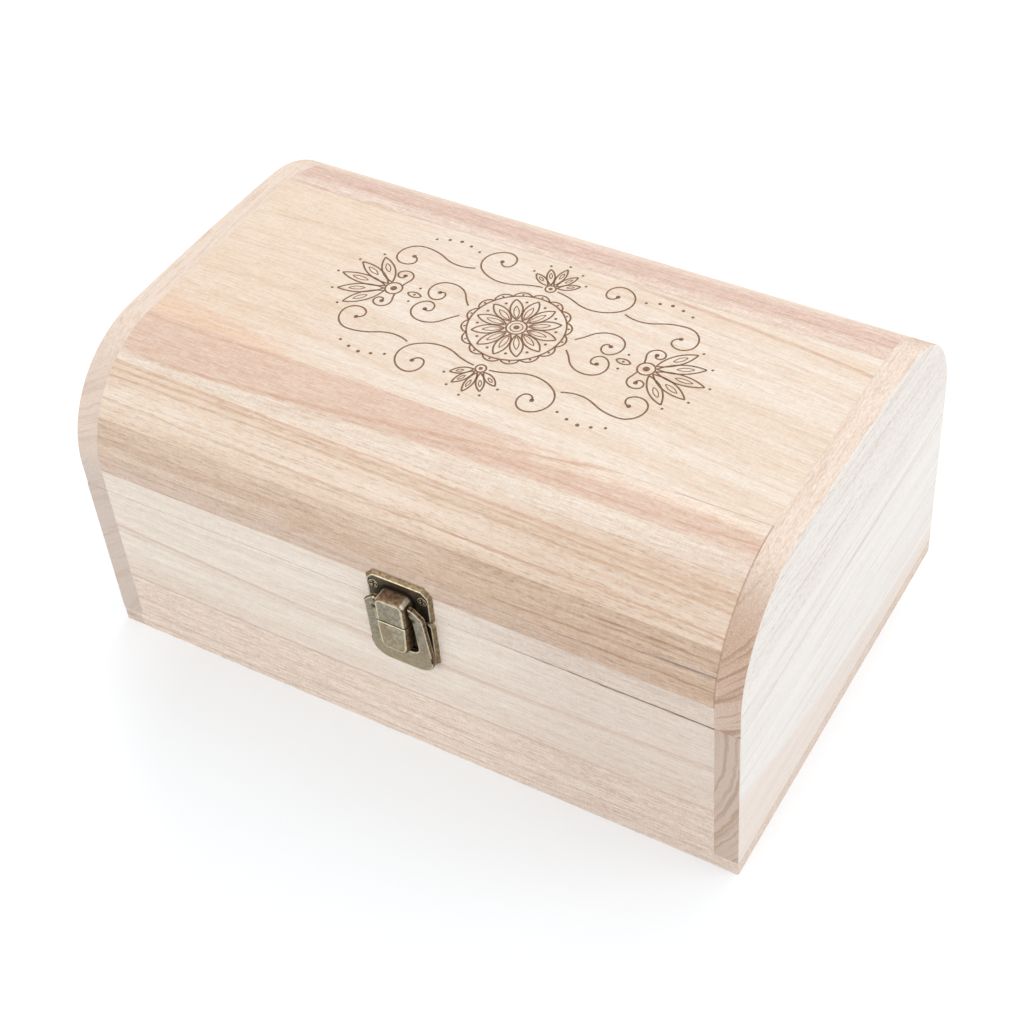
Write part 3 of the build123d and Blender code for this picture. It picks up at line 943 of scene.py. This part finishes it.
def burnedMaterial(name):
    shader = Shader(bpy.data.materials.new(name))
    x, y, z = shader.position()
    char = shader.noise(x / 1.4, y / 0.5, z, 3.0, 0.6)
    colour = shader.blend(shader.step(char, 0.3, 0.7), burnedLook["dark"], burnedLook["pale"])
    return shader.finish(colour, 0.85, char, 0.03, 0.0, 0.1)


# where each scroll starts and heads, and its bends as radius and turn
scrolls = (
    (3.4, 27.0, -0.1, ((30, -0.35), (17, 1.15), (8.5, 2.3), (5.2, 2.2), (2.6, 2.6))),
    (24.5, 3.5, 0.75, ((26, 0.25), (10, -1.3), (6.2, -2.3), (3.4, -2.4), (1.7, -2.2))),
    (55.6, 3.0, 1.75, ((20, 0.2), (3.9, -2.7), (2.3, -2.4), (1.3, -2.0))),
    (34.8, 26.2, -0.45, ((16, 0.95), (24, -0.5), (8.2, -1.6), (5.4, -2.2), (2.8, -2.4))),
)


def topDesign(drawing):
    # a rosette between two large fans and two small ones, with scrolls in the four quarters
    rosette(drawing, 0, 0, 12, {"ring": 20.0, "eye": 4.2, "tip": 18.0, "half": 2.6, "scallops": 16})
    for side in (-1, 1):
        drawing.at(side * 58, 0, 0, (side, 1))
        fan(drawing, 5, 0.42, {"eye": 3.6, "tip": 25.0, "half": 2.7})
        drawing.at(0, side * 27.5, side * math.pi / 2)
        fan(drawing, 5, 0.5, {"eye": 2.2, "tip": 14.5, "half": 1.7})
        for level in (-1, 1):
            drawing.at(0, 0, 0, (side, level))
            for x, y, heading, bends in scrolls:
                drawing.trail(x, y, heading, bends, engraving["bold"])
            for place in range(5):
                off = abs(place - 2)
                drawing.dot(39 + 5.2 * place, 39.5 - 1.1 * off**1.5, 0.85 - 0.1 * off)
        drawing.at(side * 48, 0, 0, (side, 1))
        drawing.petal(0, -3.2, 3.2, 1.5, engraving["bold"])
        for height in (0, 4.6, -4.6):
            drawing.dot(0, height, 0.6)


def topDrawing():
    drawing = Drawing()
    topDesign(drawing)
    bm = bmesh.new()
    corners = [bm.verts.new(point) for point in drawing.points]
    for face in drawing.faces:
        bm.faces.new([corners[index] for index in face])
    bmesh.ops.translate(bm, verts=bm.verts, vec=(*engraving["centre"], 0))
    for vert in bm.verts:
        vert.co.z = crownHeight(vert.co.y, engraving["sunk"] - engraving["lift"])
    bmesh.ops.scale(bm, verts=bm.verts, vec=(mm, mm, mm))
    bm.normal_update()
    bmesh.ops.reverse_faces(bm, faces=[face for face in bm.faces if face.normal.z < 0])
    mesh = makeMesh(bm, "topDrawing")
    piece = addObject("topDrawing", mesh)
    mesh.materials.append(burnedMaterial("burnedWood"))
    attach(piece, "lid")


topDrawing()
print("design drawn")


brassNoise = {"cloud": 5, "blotch": 1.6, "grit": 0.32, "pits": 0.6}
brassTones = {
    "cloud": (0.30, 0.215, 0.125, 1),
    "grit": (0.16, 0.12, 0.08, 1),
    "pit": (0.05, 0.036, 0.025, 1),
    "worn": (0.86, 0.76, 0.52, 1),
    "dirtAndShade": (0.022, 0.015, 0.010, 1),
}
# where the plate's sloped rim ends, where its field lies, painted darker as shade with dirt, and the bail's
# foot, painted yellower as a reflection, in millimetres
brassPlaces = {"bevel": (-101.2, -100.2), "fieldDirtAndShade": (-104.5, -101.5), "foot": (72, 60)}


def brassMaterial(name, look):
    # worn edges are bright, creases dark with dirt and painted shade, and faces that look out are greyer than
    # the flanks: painted sheen on the faces and painted shade on the flanks
    shader = Shader(bpy.data.materials.new(name))
    x, y, z = shader.position()
    toSide, toEnd, toTop = shader.facing()

    def noise(kind, shift, detail, rough=0.5):
        size = brassNoise[kind]
        return shader.noise(x / size + shift, y / size, z / size, detail, rough)

    cloud = noise("cloud", 3, 2.0)
    blotch = noise("blotch", 0, 3.0, 0.65)
    grit = noise("grit", 0, 2.0)
    pits = shader.step(noise("pits", 7, 1.0), 0.64, 0.71)
    wear = shader.node("ShaderNodeAttribute", {"attribute_name": "wear"}, None, "Fac")
    # this attribute marks creases, recesses and contacts, which are darkened with dirt and painted shade
    creaseShade = shader.node("ShaderNodeAttribute", {"attribute_name": "creaseShade"}, None, "Fac")
    bright = shader.step(wear + (blotch - 0.5) * 0.5 + (grit - 0.5) * 0.4, look["wearFrom"], 0.95)
    dirtAndShade = shader.step(creaseShade + (blotch - 0.5) * 0.4, 0.15, 0.85)
    # the top and the sides, the flanks, take darker tones: painted shade and reflection
    paintedFlank = shader.blend(shader.step(blotch, 0.35, 0.65), *look["paintedFlank"])
    # a painted highlight on the rounded shoulders, where a face turns both sideways and up
    if look.get("shoulderHighlight"):
        highlightMask = shader.step(toSide, 0.3, 0.55) * shader.step(toTop, 0.3, 0.55)
        paintedFlank = shader.blend(highlightMask * shader.step(blotch, 0.3, 0.6, 0.5, 1.0), paintedFlank, look["shoulderHighlight"])
    if look.get("bevel"):
        slope = shader.blend(shader.step(blotch, 0.35, 0.65), *look["bevel"])
        paintedFlank = shader.blend(shader.step(y, *brassPlaces["bevel"]), paintedFlank, slope)
    faced = shader.blend(shader.step(blotch, 0.33, 0.67), look["dark"], look["pale"])
    faced = shader.blend(shader.step(cloud, 0.45, 0.7, 0.0, 0.55), faced, brassTones["cloud"])
    # the bail's lower part is painted yellower: a painted reflection
    if look.get("foot"):
        faced = shader.blend(shader.step(z, *brassPlaces["foot"]) * cloud, faced, look["foot"])
    # the plate's field, behind the block, is painted dark: painted shade, with dirt
    if look.get("fieldDirtAndShade"):
        faced = shader.blend(shader.step(y, *brassPlaces["fieldDirtAndShade"]), faced, look["fieldDirtAndShade"])
    # faces looking out take the paler tones and the rest the flank tones: painted sheen and shade by which
    # way a face turns
    patinaAndShade = shader.blend(shader.step(toEnd, 0.8, 0.97), paintedFlank, faced)
    patinaAndShade = shader.blend(shader.step(grit, 0.4, 0.75, 0.0, 0.45), patinaAndShade, brassTones["grit"])
    patinaAndShade = shader.blend(pits * look["pits"], patinaAndShade, brassTones["pit"])
    colour = shader.blend(bright * look["worn"], patinaAndShade, brassTones["worn"])
    # darker in creases, screw recesses and near touching pieces: dirt, and painted shade
    colour = shader.blend(dirtAndShade * 0.93, colour, brassTones["dirtAndShade"])
    roughness = shader.step(bright, 0.0, 1.0, 0.42, 0.3) + (grit - 0.5) * 0.15 + dirtAndShade * 0.3
    return shader.finish(colour, roughness, blotch * 0.6 + grit * 0.3 - pits * 0.5, 0.05, 0.9)


castLook = {
    "dark": (0.30, 0.255, 0.185, 1),
    "pale": (0.50, 0.455, 0.36, 1),
    "paintedFlank": ((0.065, 0.038, 0.022, 1), (0.19, 0.125, 0.068, 1)),
    "pits": 0.5,
    "worn": 0.8,
    "wearFrom": 0.38,
}
bailLook = dict(castLook, foot=(0.52, 0.41, 0.24, 1))
noseLook = dict(castLook, dark=(0.38, 0.315, 0.20, 1), pale=(0.57, 0.50, 0.36, 1))
plateLook = dict(
    castLook,
    paintedFlank=((0.125, 0.078, 0.048, 1), (0.31, 0.205, 0.125, 1)),
    shoulderHighlight=(0.72, 0.66, 0.55, 1),
    bevel=((0.19, 0.13, 0.072, 1), (0.34, 0.25, 0.15, 1)),
    fieldDirtAndShade=(0.125, 0.10, 0.07, 1),
    wearFrom=0.3,
)
screwLook = {
    "dark": (0.43, 0.34, 0.21, 1),
    "pale": (0.58, 0.475, 0.31, 1),
    "paintedFlank": ((0.10, 0.06, 0.034, 1), (0.235, 0.16, 0.09, 1)),
    "pits": 0.3,
    "worn": 0.8,
    "wearFrom": 0.45,
}
# the rounding, the longest edge, how far wear reaches, how far dirt with painted shade reaches from creases,
# recesses and touching pieces, and a screw's radius, in millimetres
castEdges = {
    "round": 0.16,
    "mesh": 0.5,
    "wear": 0.75,
    "creaseShade": 2.2,
    "cross": 0.9,
    "ring": 0.55,
    "screw": 2.9,
    "contactShade": 1.6,
}
weld = 1e-6
# a face that looks out from the box, and is large enough to be rubbed, in square metres
outFace = {"facing": 0.95, "area": 1.5e-6}


def cadMesh(node):
    bm = bmesh.new()
    bm.from_mesh(frame["nodes"][node].data)
    bmesh.ops.remove_doubles(bm, verts=bm.verts, dist=weld)
    return bm


def screwPlaces():
    # the middles of all the screws, from the solids
    places = []
    for node in sorted(frame["nodes"]):
        if "screws" not in node:
            continue
        bm = cadMesh(node)
        left = set(bm.verts)
        while left:
            stack, group = [left.pop()], []
            while stack:
                vert = stack.pop()
                group.append(vert.co.copy())
                for edge in vert.link_edges:
                    other = edge.other_vert(vert)
                    if other in left:
                        left.discard(other)
                        stack.append(other)
            places.append(sum(group, Vector()) / len(group))
        bm.free()
    return places


def softenEdges(bm, screws):
    # bevels the sharp edges and lists the worn ones and the ones darkened by dirt and painted shade
    lines, shadedCreases, sharp = [], [], []
    for face in bm.faces:
        bends = [edge.calc_face_angle(0) for edge in face.edges]
        face.smooth = any(turns["smooth"] < bend < turns["sharp"] for bend in bends)
    for edge in bm.edges:
        bend = edge.calc_face_angle_signed(0)
        if abs(bend) > turns["sharp"]:
            sharp.append(edge)
        if abs(bend) < turns["slight"]:
            continue
        ends = (edge.verts[0].co.copy(), edge.verts[1].co.copy())
        middle = (ends[0] + ends[1]) / 2
        onScrew = any(
            math.hypot(middle.x - place.x, middle.z - place.z) < castEdges["screw"] * mm for place in screws
        )
        flat = any(
            abs(face.normal.y) > outFace["facing"] and face.calc_area() > outFace["area"]
            for face in edge.link_faces
        )
        # the ring round a screw's head, hollows and the cross slot are darkened with dirt and painted shade
        if onScrew and bend > turns["sharp"]:
            shadedCreases.append((*ends, castEdges["ring"]))
        elif bend < -turns["hollow"]:
            shadedCreases.append((*ends, castEdges["creaseShade"] if screws else castEdges["cross"]))
        elif bend > 0 and flat:
            lines.append((*ends, castEdges["wear"]))
    for face in bevel(bm, sharp, castEdges["round"], 2)["faces"]:
        face.smooth = True
    return lines, shadedCreases


def refine(bm, longest):
    # splits the mesh until no edge is long
    for _ in range(8):
        bmesh.ops.triangulate(bm, faces=[face for face in bm.faces if len(face.verts) > 3])
        long = [edge for edge in bm.edges if edge.calc_length() > longest * mm]
        if not long:
            break
        bmesh.ops.subdivide_edges(bm, edges=long, cuts=1, use_grid_fill=False)


def nearness(lines):
    # how near a point is to the given edges, each with its own reach
    points = []
    for first, last, reach in lines:
        count = max(1, round((last - first).length / (0.2 * mm)))
        points += [(first.lerp(last, part / count), reach) for part in range(count + 1)]
    # a far point keeps the tree from being empty
    tree = KDTree(len(points) + 1)
    tree.insert(Vector((9, 9, 9)), len(points))
    for index, (point, reach) in enumerate(points):
        tree.insert(point, index)
    tree.balance()
    points.append((None, 1.0))

    def near(place):
        found, index, distance = tree.find(place)
        return max(0.0, 1 - distance / (points[index][1] * mm))

    return near


def contactTree(nodes):
    # the surfaces of the pieces that stand on a plate
    bm = bmesh.new()
    for node in nodes:
        bm.from_mesh(frame["nodes"][node].data)
    tree = BVHTree.FromBMesh(bm)
    bm.free()
    return tree


def casting(node, material, screws, above=()):
    # a CAD piece with softened edges, holding how near each point is to a worn edge, and how near to a crease
    # or a piece standing on it, where dirt and painted shade darken it
    bm = cadMesh(node)
    bmesh.ops.recalc_face_normals(bm, faces=bm.faces[:])
    bmesh.ops.dissolve_limit(
        bm, angle_limit=turns["flat"], verts=bm.verts[:], edges=bm.edges[:], use_dissolve_boundaries=False
    )
    lines, shadedCreases = softenEdges(bm, screws)
    refine(bm, castEdges["mesh"])
    worn, dirtAndShadeNear = nearness(lines), nearness(shadedCreases)
    over = contactTree(above) if above else None
    wear = bm.verts.layers.float.new("wear")
    creaseShade = bm.verts.layers.float.new("creaseShade")
    for vert in bm.verts:
        vert[wear] = worn(vert.co)
        vert[creaseShade] = dirtAndShadeNear(vert.co)
        # darker near a piece standing on the plate: painted contact shadow, with dirt
        if over:
            distance = over.find_nearest(vert.co)[3]
            vert[creaseShade] = max(vert[creaseShade], 1 - distance / (castEdges["contactShade"] * mm))
    return makePiece(bm, node + "Brass", node, material, False)


brasses = {
    "cast": brassMaterial("castBrass", castLook),
    "nose": brassMaterial("noseBrass", noseLook),
    "bail": brassMaterial("bailBrass", bailLook),
    "plate": brassMaterial("plateBrass", plateLook),
    "screw": brassMaterial("screwBrass", screwLook),
}
screws = screwPlaces()
castings = {
    "latch_catch": ("plate", screws, ("latch_nose", "latch_bail")),
    "latch_keeper": ("plate", screws, ("latch_nose", "latch_bail")),
    "latch_nose": ("nose", screws),
    "latch_bail": ("bail", screws),
}
for node in sorted(frame["nodes"]):
    if node.startswith(("latch", "hinge")):
        plain = ("screw", []) if "screws" in node else ("cast", screws)
        brass, *around = castings.get(node, plain)
        casting(node, brasses[brass], *around)
print("fittings made")


lamps = {
    "backLamp": {"place": (0.0, 1.2, 1.3), "size": 2.2, "power": 8.8},
    "sideLamp": {"place": (1.7, 0.5, 1.0), "size": 1.6, "power": 11.4},
    "fillLamp": {"place": (-0.3, -1.7, 0.9), "size": 2.0, "power": 10.0},
}
lampAim = Vector((0, 0, 0.05))


def areaLight(name, lamp):
    light = bpy.data.lights.new(name, "AREA")
    light.shape = "DISK"
    light.size = lamp["size"]
    light.energy = lamp["power"]
    holder = addObject(name, light)
    holder.location = lamp["place"]
    holder.rotation_euler = (lampAim - Vector(lamp["place"])).to_track_quat("-Z", "Y").to_euler()


worldStrength = 0.73


def studioWorld(strength):
    # white where it is seen, and of the given strength as a light
    world = bpy.data.worlds.new("studioWorld")
    shader = Shader(world)
    rays = ("Is Camera Ray", "Is Glossy Ray")
    seen = shader.maths("MAXIMUM", *(shader.node("ShaderNodeLightPath", None, None, ray) for ray in rays))
    level = shader.node("ShaderNodeMapRange", None, {"Value": seen, "To Min": strength, "To Max": 1.0})
    surface = shader.node("ShaderNodeBackground", None, {"Color": (1, 1, 1, 1), "Strength": level})
    shader.node("ShaderNodeOutputWorld", None, {"Surface": surface})
    bpy.context.scene.world = world


# the floor's glow, seen only by the camera, is painted light: it grows with the distance from the box, and
# once more around a middle of its own, where it lightens the shadow on the left
floorLook = {
    "half": 6.0,
    "paper": (0.797, 0.825, 0.85, 1),
    "paintedGlow": (180, 900, 0.2, 1.0),
    "middle": (40, -60),
    "more": (150, 200, 0.0, 0.085),
}


def makeFloor():
    bm = bmesh.new()
    bmesh.ops.create_grid(bm, x_segments=1, y_segments=1, size=floorLook["half"])
    mesh = makeMesh(bm, "floor")
    floor = addObject("floor", mesh)
    shader = Shader(bpy.data.materials.new("floorPaper"))
    seen = shader.node("ShaderNodeLightPath", None, None, "Is Camera Ray")
    x, y, z = shader.position()
    middleX, middleY = floorLook["middle"]
    paintedGlow = shader.step(shader.length(x, y), *floorLook["paintedGlow"])
    # painted light in a ring about the middle, which lightens the box's shadow on its left
    paintedGlow = paintedGlow + shader.step(shader.length(x - middleX, y - middleY), *floorLook["more"])
    diffuse = shader.node("ShaderNodeBsdfDiffuse", None, {"Color": floorLook["paper"]})
    light = shader.node("ShaderNodeEmission", None, {"Color": (1, 1, 1, 1), "Strength": seen * paintedGlow})
    surface = shader.node("ShaderNodeAddShader", None, {0: diffuse, 1: light})
    shader.node("ShaderNodeOutputMaterial", None, {"Surface": surface})
    mesh.materials.append(shader.owner)


makeFloor()
studioWorld(worldStrength)
for name, lamp in lamps.items():
    areaLight(name, lamp)

cameraFit = {
    "place": (0.33782, -0.50474, 0.64077),
    "azimuth": -32.224,
    "dip": 43.916,
    "roll": -4.159,
    "lens": 69.52,
    "shift": (-0.0469, -0.0215),
}


def makeCamera():
    azimuth, dip, roll = (math.radians(cameraFit[key]) for key in ("azimuth", "dip", "roll"))
    flat = math.cos(dip)
    ahead = Vector((math.sin(azimuth) * flat, math.cos(azimuth) * flat, -math.sin(dip)))
    side = ahead.cross(Vector((0, 0, 1))).normalized()
    upright = side.cross(ahead)
    right = side * math.cos(roll) + upright * math.sin(roll)
    up = upright * math.cos(roll) - side * math.sin(roll)
    camera = bpy.data.cameras.new("camera")
    camera.lens = cameraFit["lens"]
    camera.sensor_width = 36.0
    camera.shift_x, camera.shift_y = cameraFit["shift"]
    holder = addObject("camera", camera)
    turned = Matrix((right, up, -ahead)).transposed().to_4x4()
    holder.matrix_world = Matrix.Translation(cameraFit["place"]) @ turned
    bpy.context.scene.camera = holder


makeCamera()
bpy.context.scene.view_settings.view_transform = "Standard"
print("stage set")
